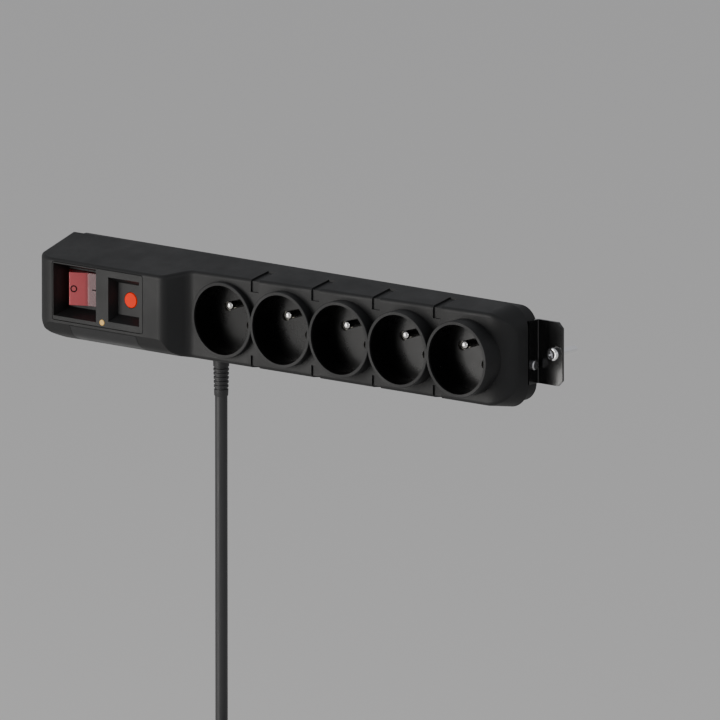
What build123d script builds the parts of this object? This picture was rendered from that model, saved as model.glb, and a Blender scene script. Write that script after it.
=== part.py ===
"""Wall-mounted power strip: five round earth-pin sockets, a raised head with a
lighted rocker switch, a resettable breaker and an indicator, two angle brackets,
and a mains lead that hangs down to a tied coil and its plug.

X runs along the strip towards the tail, Z is up, the wall is the plane Y = 0 and
the front faces -Y. The origin is on the back face, midway between the wall
screws, on the line of the sockets' centres. Sizes are in millimetres.
"""
from build123d import *
from math import asin, cos, degrees, pi, radians, sin, tan
import os

os.makedirs("parts", exist_ok=True)

# ---- body ----
body_length = 335.0         # outline where the covers meet
body_height = 59.0
head_top_corner = 3.2       # outline corners at the head end
head_bottom_corner = 18.0
tail_corner = 13.5          # outline corners at the tail end
inner_corner = 0.8          # least corner radius inside a wall
draft = 9.5                 # sides lean in towards the front, degrees
wall = 2.2
fit = 0.2                   # gap round anything that drops into a seat
split_y = -11.0             # plane where the covers meet
head_y = -52.0              # face of the switch head
ring_y = -40.0              # tops of the socket rings
head_end_x = -66.5          # the face ends here and the step begins
deck_start_x = -57.0        # the step ends here and the deck begins
deck_start_y = -38.0
deck_slope = 2.45           # the deck falls back towards the tail, degrees
end_round = 15.0            # plan radius of both ends
end_cross = 0.1             # the round passes the leaning end by this, so that the two cross in an edge
step_round = 7.0
edge_round = 2.4
band_top_z = -14.0          # the face's lower edge, where the sloping band begins
band_drop = (3.4, 6.8)      # the band's steep part: back, down
band_tail = (10.4, 5.0)     # and its shallow part
band_round = 8.0

# ---- sockets ----
socket_count = 5
socket_pitch = 42.8
socket_3_x = 53.0
socket_xs = [socket_3_x + (i - (socket_count - 1) / 2) * socket_pitch for i in range(socket_count)]
gap_xs = [x + socket_pitch / 2 for x in socket_xs[:-1]]
well_radius = 20.0
well_depth = 16.0
ring_radius = 21.9
lip_depth = 1.5
cup_wall = 0.85
cup_fit = 0.05
cup_floor = 2.0
pin_angle = 62.0            # direction of the earth pin from the centre, degrees
earth_pin_radius = 2.4
earth_pin_offset = 10.0
earth_pin_tail = 1.5
contact_spacing = 19.0
contact_hole_radius = 2.8
groove_width = 5.6
groove_depth = 1.0

# ---- control panel ----
panel_x, panel_z = -113.9, 4.45
panel_width, panel_height = 67.2, 34.1
panel_thickness = 2.2
pocket_wall = 1.6
switch_x, switch_z = -130.7, 5.25
switch_pocket = (31.6, 30.5, 11.6)      # width, height, depth
switch_pocket_taper = (2.2, 3.8)        # each side, across X and Z
reset_x, reset_z = -94.45, 4.4
reset_pocket = (22.8, 25.8, 6.5)
reset_pocket_taper = (2.0, 3.7)
lens_x, lens_z = -110.4, -9.6
lens_radius = 1.7

# ---- rocker switch ----
rocker_width = 22.2
rocker_height = 19.0
rocker_z = 5.9
rocker_fit = 0.3
rocker_tilt = 16.5          # each way from its middle position, degrees
rocker_valley = 8.5         # slope of each half of the front, degrees
rocker_reach = 8.8          # pivot to the valley line
rocker_swing = 13.6         # radius of the round ends about the pivot
rocker_skirt = 82.0         # the round ends run back to this angle from its front, degrees
rocker_window = 27.0        # opening behind it, clear of its swinging ends
rocker_edge = 0.8           # round on the edge that stands furthest forward
pivot_behind_floor = 5.5
pivot_radius = 1.5
switch_wall = 1.2
switch_depth = 20.0
blade_width, blade_thick = 4.8, 0.8

# ---- breaker ----
button_radius = 4.4
button_proud = 0.5
button_travel = 3.0
breaker_size = (16.0, 26.0, 20.0)

# ---- fixings ----
wall_screw_span = 358.0
bracket_z = 2.5
bracket_height = 36.7
bracket_thick = 1.5
bracket_reach = 17.5        # from the leg's outer face to the plate's end
bracket_corner = 3.2
wall_screw_radius = 2.0
wall_screw_neck = 1.7       # plain neck inside the bracket
wall_screw_length = 18.0
wall_head_radius = 3.9
wall_head_height = 2.8
bracket_screw_at = (-5.6, -4.8)         # Y and Z on the end of the rear cover
cover_screw_radius = 1.45
boss_radius = 3.5
boss_z = 20.5
cover_screws = [(-155.0, 13.0), (-73.5, boss_z), (gap_xs[0], boss_z), (gap_xs[-1], boss_z)]

# ---- mains lead ----
cord_x, cord_y = -56.5, -11.0
cord_radius = 3.6
cord_inner_z = -12.0
boot_length = 22.0
coil_turn_radius = 42.0
coil_layers = 3
coil_z = -296.0
tie_width = 9.0
tie_thick = 1.2
boot_top_drop = 34.0        # from the coil's centre down to the plug's boot
plug_boot_length = 25.0
plug_body_length = 35.0
plug_radius = 18.5
plug_pin_length = 19.0

contact_angle = pin_angle - 90.0
well_floor_y = ring_y + well_depth
cup_back_y = well_floor_y + cup_floor
cup_radius = well_radius + cup_wall
hole_u = contact_spacing / 2
hole_dx = hole_u * cos(radians(contact_angle))
hole_dz = hole_u * sin(radians(contact_angle))
pin_dx = earth_pin_offset * cos(radians(pin_angle))
pin_dz = earth_pin_offset * sin(radians(pin_angle))


def save(piece, name):
    """Label a finished sub-part and write it to a STEP file of its own."""
    piece.part.label = name
    export_step(piece.part, f"parts/{name}.step")


def facing(x, y, z, turn=0.0):
    """Plane at a point, facing the front, its X axis turned up from +X by an angle."""
    return Plane(origin=(x, y, z), x_dir=(cos(radians(turn)), 0, sin(radians(turn))), z_dir=(0, -1, 0))


def deck_y(x):
    return deck_start_y + (x - deck_start_x) * tan(radians(deck_slope))


def side_z(y, inset=0.0):
    """Half height of the body at a depth Y, on its drafted sides."""
    return body_height / 2 - inset - (split_y - y) * tan(radians(draft))


def round_end(side, slope, face_y, inset):
    """Arc that joins the front to a leaning end: side is -1 for the head, 1 for the
    tail, and the front is the line through (0, face_y) at the given slope."""
    lean, rise = radians(draft), radians(slope)
    radius = end_round - inset
    reach = body_length / 2 - (inset + radius) / cos(lean) + end_cross
    front = face_y + (inset + radius) / cos(rise)
    at_zero = reach - split_y * tan(lean)
    centre_y = (front + side * tan(rise) * at_zero) / (1 - side * tan(rise) * tan(lean))
    centre = Vector(side * (at_zero + centre_y * tan(lean)), centre_y)
    out_face = Vector(sin(rise), -cos(rise))
    out_end = Vector(side * cos(lean), -sin(lean))
    middle = (out_face + out_end).normalized()
    return [centre + way * radius for way in (out_face, middle, out_end)]


def outline_sketch(inset):
    """Outline of the body seen from the front, moved in by an inset, in local axes."""
    half_l, half_h = body_length / 2 - inset, body_height / 2 - inset
    with BuildSketch() as outline:
        Rectangle(2 * half_l, 2 * half_h)
        fillet(outline.vertices().group_by(Axis.X)[-1], radius=tail_corner - inset)
        for end, radius in ((0, head_bottom_corner), (-1, head_top_corner)):
            corner = outline.vertices().group_by(Axis.X)[0].sort_by(Axis.Y)[end]
            fillet([corner], radius=max(radius - inset, inner_corner))
    return outline.sketch_local


def band_corners(inset):
    """The band's three corners in the Y-Z plane, its two parts run on past the body."""
    y0, z0 = head_y + inset, band_top_z + inset
    y1, z1 = y0 + band_drop[0], z0 - band_drop[1]
    return [
        (y0 - 2 * band_drop[0], z0 + 2 * band_drop[1]),
        (y1, z1),
        (y1 + 2 * band_tail[0], z1 - 2 * band_tail[1]),
    ]


def band_cutter(inset, half_x, at_x=0.0):
    """Everything below and in front of the head's band, over a stretch of X."""
    first, middle, last = band_corners(inset)
    with BuildPart() as cutter:
        with BuildSketch(Plane.YZ.offset(at_x)):
            with BuildLine():
                FilletPolyline(first, middle, last, radius=band_round)
                Polyline(last, (head_y - 20, last[1]), (head_y - 20, first[1]), first)
            make_face()
        extrude(amount=half_x, both=True)
    return cutter.part


def body_blank(inset, rounding=0.0):
    """The front cover's outside as one solid, or its inside when moved in by a wall."""
    reach = body_length
    head_in, head_mid, head_out = round_end(-1, 0, head_y, inset)
    tail_in, tail_mid, tail_out = round_end(1, deck_slope, deck_y(0), inset)
    below_band = band_cutter(inset, body_length)
    with BuildPart() as blank:
        with BuildSketch(Plane.XZ.offset(-split_y)):
            Rectangle(body_length - 2 * inset, body_height - 2 * inset)
        extrude(amount=split_y - head_y + 5, taper=draft)
        leaning = blank.edges().filter_by(lambda edge: edge.bounding_box().size.Y > 20)
        lower_head, upper_head = leaning.group_by(Axis.X)[0].sort_by(Axis.Z)
        fillet(leaning.group_by(Axis.X)[-1], radius=tail_corner - inset)
        fillet(lower_head, radius=head_bottom_corner - inset)
        fillet(upper_head, radius=max(head_top_corner - inset, inner_corner))
        with BuildSketch(Plane.XY):
            with BuildLine():
                ThreePointArc(head_out, head_mid, head_in)
                FilletPolyline(
                    head_in,
                    (head_end_x, head_y + inset),
                    (deck_start_x, deck_start_y + inset),
                    tail_in,
                    radius=[step_round - inset / 2, step_round + inset / 2],
                )
                ThreePointArc(tail_in, tail_mid, tail_out)
                Polyline(
                    tail_out, (reach, tail_out.Y), (reach, 10), (-reach, 10), (-reach, head_out.Y), head_out
                )
            make_face()
        extrude(amount=body_height, both=True, mode=Mode.INTERSECT)
        if rounding:
            fillet(blank.edges().filter_by(lambda edge: edge.bounding_box().max.Y < split_y - 3), rounding)
        add(below_band, mode=Mode.SUBTRACT)
    return blank.part


def tapered_block(x, z, width, height, depth, taper, grow, extra):
    """Block that narrows from the head's face backwards: a pocket or its outside."""
    with BuildPart() as block:
        with BuildSketch(facing(x, head_y, z)):
            Rectangle(width + 2 * grow, height + 2 * grow)
        with BuildSketch(facing(x, head_y + depth + extra, z)):
            Rectangle(width - 2 * taper[0] + 2 * grow, height - 2 * taper[1] + 2 * grow)
        loft(ruled=True)
    return block.part


def screw(x, y, z, shank, length, head, height, neck=None, neck_length=0.0):
    """Pan-head screw, its head's seat at the point, its shank pointing +Y."""
    with BuildPart() as piece:
        with BuildSketch(facing(x, y, z)):
            Circle(head)
        extrude(amount=height)
        fillet(piece.faces().sort_by(Axis.Y)[0].edges(), radius=height * 0.45)
        with BuildSketch(facing(x, y, z)):
            Circle(neck or shank)
        extrude(amount=-neck_length - 1.0)
        with BuildSketch(facing(x, y + neck_length, z)):
            Circle(shank)
        extrude(amount=neck_length - length)
        with BuildSketch(facing(x, y - height, z, 20.0)):
            Rectangle(head * 1.05, head * 0.24)
            Rectangle(head * 0.24, head * 1.05)
        extrude(amount=-height * 0.6, mode=Mode.SUBTRACT)
    return piece.part


# ---- front cover: shell, rings, grooves, the panel's window and screw bosses ----
outside = body_blank(0.0, edge_round)
inside = body_blank(wall)
badge_left, badge_right = -134.6, -85.9
badge_depth = 1.2

badge_centre, badge_half = (badge_left + badge_right) / 2, (badge_right - badge_left) / 2
badge_cutter = band_cutter(badge_depth, badge_half, badge_centre)
seat_cutter = band_cutter(badge_depth + fit / 2, badge_half + fit, badge_centre)

with BuildPart() as badge_seat:
    add(seat_cutter)
    with BuildSketch(Plane.XY.offset(band_top_z - 0.3)):
        Rectangle(body_length * 2, 200)
    extrude(amount=40, mode=Mode.SUBTRACT)

with BuildPart() as bosses:
    with BuildSketch(Plane.XZ.offset(-split_y + fit)):
        for boss_x, boss_height in cover_screws:
            with Locations((boss_x, boss_height), (boss_x, -boss_height)):
                Circle(boss_radius)
    extrude(amount=split_y - head_y)
    add(outside, mode=Mode.INTERSECT)

with BuildPart() as front_cover:
    add(outside)
    add(inside, mode=Mode.SUBTRACT)
    add(bosses.part)
    with BuildSketch(Plane.XZ.offset(-well_floor_y + 2.0)):
        for x in socket_xs:
            with Locations((x, 0)):
                Circle(ring_radius)
    extrude(amount=well_floor_y - 2.0 - ring_y)
    chamfer(front_cover.faces().sort_by(Axis.Y).filter_by(
        lambda face: abs(face.center().Y - ring_y) < 0.01).edges(), length=0.3)
    with BuildSketch(Plane.XZ.offset(-ring_y + 1.0)):
        for x in socket_xs:
            with Locations((x, 0)):
                Circle(well_radius)
    extrude(amount=ring_y - 1.0, mode=Mode.SUBTRACT)
    with BuildSketch(Plane.XZ.offset(-ring_y - lip_depth)):
        for x in socket_xs:
            with Locations((x, 0)):
                Circle(cup_radius + cup_fit)
    extrude(amount=ring_y + lip_depth, mode=Mode.SUBTRACT)
    with BuildSketch(facing(panel_x, head_y - 1, panel_z)) as window:
        RectangleRounded(panel_width, panel_height, 1.5)
    extrude(amount=-wall - 2, mode=Mode.SUBTRACT)
    for x in gap_xs:
        front = deck_y(x)
        for side in (1, -1):
            with BuildSketch(Plane.YZ.offset(x)):
                Polygon(
                    (front - 3, side * (side_z(front) - 7)),
                    (front + groove_depth, side * (side_z(front) - 7)),
                    (front + groove_depth, side * (side_z(front + groove_depth) - groove_depth)),
                    (front + 15, side * (side_z(front + 15) - groove_depth)),
                    (front + 16, side * (side_z(front + 16) + 1)),
                    (front - 3, side * (side_z(front) + 4)),
                    align=None,
                )
            extrude(amount=groove_width / 2, both=True, mode=Mode.SUBTRACT)
    add(badge_seat.part, mode=Mode.SUBTRACT)
    with BuildSketch(Plane.XZ.offset(-split_y)):
        for boss_x, boss_height in cover_screws:
            with Locations((boss_x, boss_height), (boss_x, -boss_height)):
                Circle(cover_screw_radius + 0.05)
    extrude(amount=14, mode=Mode.SUBTRACT)
    with BuildSketch(Plane.XY):
        with Locations((cord_x, cord_y)):
            Circle(cord_radius + 1.9 + 0.1)
    extrude(amount=-body_height, mode=Mode.SUBTRACT)
save(front_cover, "front_cover")

# ---- rear cover: a tray that slips inside the front cover's rim ----
overlap = 3.0
rear_inset = 2.0
lip_inset = wall + overlap * tan(radians(draft)) + 2 * fit
rear_end = body_length / 2 - rear_inset
rear_outline, lip_outline = outline_sketch(rear_inset), outline_sketch(lip_inset)
hollow_inset = lip_inset + 1.6
rear_hollow = outline_sketch(hollow_inset)

with BuildPart() as rear_cover:
    with BuildSketch(Plane.XZ):
        add(rear_outline)
    extrude(amount=-split_y)
    chamfer(rear_cover.faces().sort_by(Axis.Y)[-1].edges(), length=0.8)
    with BuildSketch(Plane.XZ.offset(-split_y)):
        add(lip_outline)
    extrude(amount=overlap)
    with BuildSketch(Plane.XZ.offset(wall)):
        add(rear_hollow)
    extrude(amount=-split_y + overlap, mode=Mode.SUBTRACT)
    with BuildSketch(Plane.XZ.offset(wall / 2)):
        for boss_x, boss_height in cover_screws:
            with Locations((boss_x, boss_height), (boss_x, -boss_height)):
                Circle(boss_radius + 0.5)
    extrude(amount=-split_y - wall / 2)
    with BuildSketch(Plane.XZ.offset(wall / 2)):
        for x in socket_xs:
            with Locations((x, 0)):
                with GridLocations(12.6, 34.8, 2, 2):
                    Circle(2.0)
    extrude(amount=-cup_back_y - wall / 2 - 0.1)
    with BuildSketch(Plane.XZ.offset(wall / 2)):
        for x in gap_xs:
            with Locations((x, 0)):
                Rectangle(3.0, 15.3)
    extrude(amount=3.0 - wall / 2)
    with BuildSketch(Plane.XZ.offset(wall / 2)):
        with Locations((-130.5, 1.0)):
            with GridLocations(31, 24, 2, 2):
                Circle(2.0)
    extrude(amount=4.0 - wall / 2)
    with BuildSketch(Plane.XZ.offset(wall / 2)):
        with Locations((cord_x, -18.5)):
            Rectangle(20, 6)
    extrude(amount=9.0 - wall / 2)
    for side in (1, -1):
        with BuildSketch(Plane.YZ.offset(side * (rear_end - wall / 2))):
            with Locations(bracket_screw_at):
                Rectangle(5.6, 7.0)
        extrude(amount=-side * 6.5)
        with BuildSketch(Plane.YZ.offset(side * (rear_end + 1))):
            with Locations(bracket_screw_at):
                Circle(cover_screw_radius + 0.05)
        extrude(amount=-side * 8.5, mode=Mode.SUBTRACT)
    with BuildSketch(Plane.XZ.offset(-1)):
        for boss_x, boss_height in cover_screws:
            with Locations((boss_x, boss_height), (boss_x, -boss_height)):
                Circle(3.1)
    extrude(amount=5, mode=Mode.SUBTRACT)
    with BuildSketch(Plane.XZ.offset(-1)):
        for boss_x, boss_height in cover_screws:
            with Locations((boss_x, boss_height), (boss_x, -boss_height)):
                Circle(1.7)
    extrude(amount=-split_y + 5, mode=Mode.SUBTRACT)
    with BuildSketch(Plane.XZ.offset(2.9)):
        with Locations((cord_x - 7.2, -18.5), (cord_x + 7.2, -18.5)):
            Circle(cover_screw_radius + 0.05)
    extrude(amount=8, mode=Mode.SUBTRACT)
    with BuildSketch(Plane.XY.offset(-14)):
        with Locations((cord_x, cord_y)):
            Circle(cord_radius + 0.1)
    extrude(amount=-9, mode=Mode.SUBTRACT)
    with BuildSketch(Plane.XY.offset(-22)):
        with Locations((cord_x, cord_y)):
            Circle(cord_radius + 1.9 + 0.1)
    extrude(amount=-body_height, mode=Mode.SUBTRACT)
save(rear_cover, "rear_cover")

# ---- blank badge plate let into the head's band ----
with BuildPart() as badge_plate:
    add(outside)
    add(badge_cutter, mode=Mode.INTERSECT)
    with BuildSketch(Plane.XY.offset(band_top_z - 0.5)):
        Rectangle(body_length * 2, 200)
    extrude(amount=40, mode=Mode.SUBTRACT)
save(badge_plate, "badge_plate")

# ---- control panel: a plate with two tapered pockets ----
with BuildPart() as control_panel:
    with BuildSketch(facing(panel_x, head_y, panel_z)):
        RectangleRounded(panel_width - 2 * fit, panel_height - 2 * fit, 1.3)
    extrude(amount=-panel_thickness)
    chamfer(control_panel.faces().sort_by(Axis.Y)[0].edges(), length=0.25)
    add(tapered_block(switch_x, switch_z, *switch_pocket, switch_pocket_taper, 0.4, pocket_wall))
    add(tapered_block(reset_x, reset_z, *reset_pocket, reset_pocket_taper, 0.8, pocket_wall))
    add(tapered_block(switch_x, switch_z, *switch_pocket, switch_pocket_taper, 0, 0), mode=Mode.SUBTRACT)
    add(tapered_block(reset_x, reset_z, *reset_pocket, reset_pocket_taper, 0, 0), mode=Mode.SUBTRACT)
    with BuildSketch(facing(switch_x, head_y + switch_pocket[2] - 0.01, rocker_z)):
        Rectangle(rocker_window, rocker_height + 2 * rocker_fit)
    extrude(amount=-pocket_wall - 1, mode=Mode.SUBTRACT)
    with BuildSketch(facing(reset_x, head_y, reset_z)):
        Circle(button_radius + 0.3)
    extrude(amount=-reset_pocket[2] - pocket_wall - 1, mode=Mode.SUBTRACT)
    with BuildSketch(facing(lens_x, head_y - 1, lens_z)):
        Circle(lens_radius + 0.05)
    extrude(amount=-panel_thickness - 2, mode=Mode.SUBTRACT)
save(control_panel, "control_panel")

# ---- sockets: cup, earth pin and shutter for each ----
shutter_thick = 1.6
shutter_travel = 6.5
shutter_length = 2 * (hole_u + 3.3)
shutter_width = 9.0
shutter_gap = 0.3
for number, x in enumerate(socket_xs, 1):
    with BuildPart() as socket_insert:
        with BuildSketch(facing(x, cup_back_y, 0)):
            Circle(cup_radius)
        extrude(amount=cup_back_y - ring_y - lip_depth - 0.05)
        with BuildSketch(facing(x, well_floor_y, 0)):
            Circle(well_radius)
        extrude(amount=well_depth, mode=Mode.SUBTRACT)
        with BuildSketch(facing(x, well_floor_y - 1, 0, contact_angle)):
            with Locations((-hole_u, 0), (hole_u, 0)):
                Circle(contact_hole_radius)
        extrude(amount=-cup_floor - 2, mode=Mode.SUBTRACT)
        with BuildSketch(facing(x + pin_dx, well_floor_y - 1, pin_dz)):
            Circle(earth_pin_radius + 0.05)
        extrude(amount=-cup_floor - 2, mode=Mode.SUBTRACT)
        with BuildSketch(facing(x, cup_back_y - 0.2, 0, contact_angle)):
            with Locations((0, shutter_width / 2 + shutter_gap + 0.7), (0, -shutter_width / 2 - shutter_gap - 0.7)):
                Rectangle(16.0, 1.4)
        extrude(amount=-shutter_thick - 2 * shutter_gap - 0.2)
        with BuildSketch(facing(x, cup_back_y + shutter_thick + 2 * shutter_gap, 0, contact_angle)):
            with Locations((0, shutter_width / 2 + 0.4), (0, -shutter_width / 2 - 0.4)):
                Rectangle(4.0, 2.0)
        extrude(amount=-0.8)
    save(socket_insert, f"socket_insert_{number}")

    with BuildPart() as earth_pin:
        with BuildSketch(facing(x + pin_dx, cup_back_y - 0.1, pin_dz)):
            Circle(earth_pin_radius)
        extrude(amount=well_depth + cup_floor - 1.1)
        fillet(earth_pin.faces().sort_by(Axis.Y)[0].edges(), radius=earth_pin_radius * 0.9)
        with BuildSketch(facing(x + pin_dx, cup_back_y - 0.2, pin_dz)):
            Circle(earth_pin_tail)
        extrude(amount=-4.2)
    save(earth_pin, f"earth_pin_{number}")

    with BuildPart() as shutter:
        with BuildSketch(facing(x, cup_back_y + shutter_gap + shutter_thick, 0, contact_angle)):
            RectangleRounded(shutter_length, shutter_width, 1.5)
            with Locations((hole_u - shutter_travel, 0)):
                Circle(contact_hole_radius, mode=Mode.SUBTRACT)
        extrude(amount=shutter_thick)
    save(shutter, f"shutter_{number}")

# ---- contact rails behind the sockets ----
rail_thick = 0.8
rail_back = 3.0
rail_left = -62.0
leaf_gap = 2.6
leaf_thick = 0.6
leaf_tip = -18.0
for name, side in (("live_rail", -1), ("neutral_rail", 1)):
    rail_z = side * hole_dz
    right = socket_xs[-1] + side * hole_dx + 5.0
    with BuildPart() as rail:
        with BuildSketch(facing((rail_left + right) / 2, -rail_back, rail_z)):
            Rectangle(right - rail_left, 2 * (leaf_gap + leaf_thick))
        extrude(amount=rail_thick)
        with BuildSketch(facing(0, -rail_back, rail_z)):
            for x in socket_xs:
                with Locations((x + side * hole_dx, 0)):
                    with GridLocations(0, 2 * leaf_gap + leaf_thick, 1, 2):
                        Rectangle(5.0, leaf_thick)
        extrude(amount=-leaf_tip - rail_back)
    save(rail, name)

earth_y = -18.8
earth_strip_z = 12.4
with BuildPart() as earth_rail:
    right = socket_xs[-1] + pin_dx + 4
    with BuildSketch(facing((rail_left + right) / 2, earth_y, earth_strip_z)):
        Rectangle(right - rail_left, 4.0)
    extrude(amount=rail_thick)
    with BuildSketch(facing(0, earth_y, 0)):
        for x in socket_xs:
            with Locations((x + pin_dx, (6.8 + earth_strip_z) / 2)):
                Rectangle(6.0, earth_strip_z - 6.8)
    extrude(amount=rail_thick)
    with BuildSketch(facing(0, earth_y + 1, 0)):
        for x in socket_xs:
            with Locations((x + pin_dx, pin_dz)):
                Circle(earth_pin_tail + 0.05)
    extrude(amount=rail_thick + 2, mode=Mode.SUBTRACT)
save(earth_rail, "earth_rail")

# ---- rocker switch ----
pocket_floor_y = head_y + switch_pocket[2]
pivot_y = pocket_floor_y + pivot_behind_floor
switch_front = pocket_floor_y + pocket_wall + 0.05
end_depth = rocker_reach + rocker_width / 2 * tan(radians(rocker_valley))
switch_half = (rocker_swing + 0.35, rocker_height / 2 + rocker_fit)
switch_back = switch_front + switch_depth

with BuildPart() as switch_housing:
    with BuildSketch(facing(switch_x, switch_back, rocker_z)):
        Rectangle(2 * (switch_half[0] + switch_wall), 2 * (switch_half[1] + switch_wall))
    extrude(amount=switch_depth)
    with BuildSketch(facing(switch_x, switch_back - 1.5, rocker_z)):
        Rectangle(2 * switch_half[0], 2 * switch_half[1])
    extrude(amount=switch_depth, mode=Mode.SUBTRACT)
    with BuildSketch(Plane.XY.offset(rocker_z - 20)):
        with Locations((switch_x, pivot_y)):
            Circle(pivot_radius + 0.06)
    extrude(amount=40, mode=Mode.SUBTRACT)
    with BuildSketch(facing(switch_x, switch_back + 1, rocker_z)):
        with GridLocations(14, 8, 2, 2):
            Rectangle(blade_thick + 0.1, blade_width + 0.1)
    extrude(amount=4, mode=Mode.SUBTRACT)
save(switch_housing, "switch_housing")

tilted = Plane(
    origin=(switch_x, pivot_y, rocker_z),
    x_dir=(cos(radians(rocker_tilt)), sin(radians(rocker_tilt)), 0),
    z_dir=(0, 0, 1),
)
half_rocker = rocker_width / 2
arc_start = degrees(asin(half_rocker / rocker_swing))
arc_ways = [radians(angle) for angle in (arc_start, (arc_start + rocker_skirt) / 2, rocker_skirt)]
rocker_side = end_depth - rocker_swing * cos(arc_ways[0])
right_arc = [(rocker_swing * sin(way), -rocker_swing * cos(way)) for way in arc_ways]
left_arc = [(-x, y) for x, y in reversed(right_arc)]
with BuildPart() as switch_rocker:
    with BuildSketch(tilted):
        with BuildLine():
            Polyline(left_arc[2], (-half_rocker, -end_depth), (0, -rocker_reach),
                     (half_rocker, -end_depth), right_arc[0])
            ThreePointArc(*right_arc)
            Polyline(right_arc[2], (3.0, 2.4), (-3.0, 2.4), left_arc[0])
            ThreePointArc(*left_arc)
        make_face()
    extrude(amount=rocker_height / 2, both=True)
    fillet(switch_rocker.edges().filter_by(Axis.Z).sort_by(Axis.Y)[:1], radius=min(rocker_edge, rocker_side / 3))
    with BuildSketch(tilted):
        Circle(pivot_radius)
    extrude(amount=rocker_height / 2 + rocker_fit + 0.9, both=True)
save(switch_rocker, "switch_rocker")

with BuildPart() as switch_lamp:
    with BuildSketch(Plane.XY.offset(rocker_z - 6)):
        with Locations((switch_x, switch_back - 5.0)):
            Circle(1.9)
    extrude(amount=12)
    fillet(switch_lamp.edges(), radius=1.2)
save(switch_lamp, "switch_lamp")

with BuildPart() as switch_terminals:
    with BuildSketch(facing(switch_x, switch_back + 8.0, rocker_z)):
        with GridLocations(14, 8, 2, 2):
            Rectangle(blade_thick, blade_width)
    extrude(amount=9.0)
save(switch_terminals, "switch_terminals")

# ---- resettable breaker and its button ----
reset_floor_y = head_y + reset_pocket[2]
breaker_front = reset_floor_y + pocket_wall + 0.05
breaker_back = breaker_front + breaker_size[2]
with BuildPart() as breaker_body:
    with BuildSketch(facing(reset_x, breaker_back, reset_z)):
        Rectangle(breaker_size[0], breaker_size[1])
    extrude(amount=breaker_size[2])
    chamfer(breaker_body.edges().filter_by(Axis.Y), length=1.0)
    with BuildSketch(facing(reset_x, breaker_front, reset_z)):
        Circle(button_radius + 0.3)
    extrude(amount=-9, mode=Mode.SUBTRACT)
    with BuildSketch(facing(reset_x, breaker_back + 1, reset_z)):
        with GridLocations(8, 0, 2, 1):
            Rectangle(blade_thick + 0.1, blade_width + 0.1)
    extrude(amount=4, mode=Mode.SUBTRACT)
save(breaker_body, "breaker_body")

with BuildPart() as reset_button:
    with BuildSketch(facing(reset_x, breaker_front + 4.0, reset_z)):
        Circle(button_radius)
    extrude(amount=breaker_front + 4.0 - reset_floor_y + button_proud)
    fillet(reset_button.faces().sort_by(Axis.Y)[0].edges(), radius=0.5)
    with BuildSketch(facing(reset_x, breaker_front + 4.0, reset_z)):
        Circle(1.5)
    extrude(amount=-4.0)
save(reset_button, "reset_button")

with BuildPart() as breaker_terminals:
    with BuildSketch(facing(reset_x, breaker_back + 8.0, reset_z)):
        with GridLocations(8, 0, 2, 1):
            Rectangle(blade_thick, blade_width)
    extrude(amount=10.5)
save(breaker_terminals, "breaker_terminals")

# ---- indicator ----
with BuildPart() as indicator_lens:
    with BuildSketch(facing(lens_x, head_y + panel_thickness + 0.05, lens_z)):
        Circle(lens_radius)
    extrude(amount=panel_thickness + 0.5)
    fillet(indicator_lens.faces().sort_by(Axis.Y)[0].edges(), radius=0.45)
    with BuildSketch(facing(lens_x, head_y + panel_thickness + 0.05, lens_z)):
        Circle(lens_radius + 0.5)
    extrude(amount=-1.2)
save(indicator_lens, "indicator_lens")

with BuildPart() as indicator_lamp:
    with BuildSketch(facing(lens_x, head_y + panel_thickness + 12.0, lens_z)):
        Circle(2.0)
    extrude(amount=10.0)
    fillet(indicator_lamp.faces().sort_by(Axis.Y)[0].edges(), radius=1.2)
    with BuildSketch(facing(lens_x, head_y + panel_thickness + 11.8, lens_z)):
        with GridLocations(2, 0, 2, 1):
            Circle(0.35)
    extrude(amount=-9.0)
save(indicator_lamp, "indicator_lamp")

# ---- surge board with its varistors, on the rear cover's posts ----
board_x, board_z = -130.5, 1.0
with BuildPart() as surge_board:
    with BuildSketch(facing(board_x, -4.0, board_z)):
        RectangleRounded(37, 30, 1.0)
    extrude(amount=1.6)
save(surge_board, "surge_board")

with BuildPart() as surge_varistors:
    with BuildSketch(facing(board_x, -5.6, board_z)):
        with GridLocations(11.6, 0, 3, 1):
            Circle(5.0)
    extrude(amount=4.0)
    fillet(surge_varistors.edges().filter_by(GeomType.CIRCLE).group_by(Axis.Y)[0], radius=1.2)
save(surge_varistors, "surge_varistors")

# ---- inner wiring ----
core_radius = 1.2
blade_left, blade_right = switch_x - 7, switch_x + 7
blade_low, blade_high = rocker_z - 4, rocker_z + 4
half_blade = blade_thick / 2
live_x, neutral_x = cord_x - 1.6, cord_x + 1.6
wire_routes = {
    "wire_live": [[
        (live_x, -11.9, cord_inner_z), (live_x, -11.9, blade_low), (blade_right + half_blade, -11.9, blade_low),
    ]],
    "wire_neutral": [[
        (neutral_x, -11.9, cord_inner_z), (neutral_x, -11.9, blade_high),
        (blade_right + half_blade, -11.9, blade_high),
    ]],
    "wire_earth": [[
        (cord_x, -9.1, cord_inner_z), (cord_x, -9.1, earth_strip_z), (cord_x, earth_y, earth_strip_z),
    ]],
    "jumper_wires": [
        [
            (blade_left - half_blade, -14.6, blade_low), (-144, -14.6, blade_low), (-144, -14.6, -9),
            (reset_x - 4, -14.6, -9), (reset_x - 4, -14.6 - 4, -5), (reset_x - 4, -18.6, reset_z - blade_width / 2),
        ],
        [
            (reset_x + 4 + half_blade, -18.0, -hole_dz), (-66, -18.0, -hole_dz), (-66, -3.4, -hole_dz),
            (rail_left, -3.4, -hole_dz),
        ],
        [
            (blade_left - half_blade, -12.0, blade_high), (-148, -12.0, blade_high), (-148, -12.0, -12.4),
            (-70, -12.0, -12.4), (-70, -3.4, -12.4), (-70, -3.4, hole_dz), (rail_left, -3.4, hole_dz),
        ],
    ],
}
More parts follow.
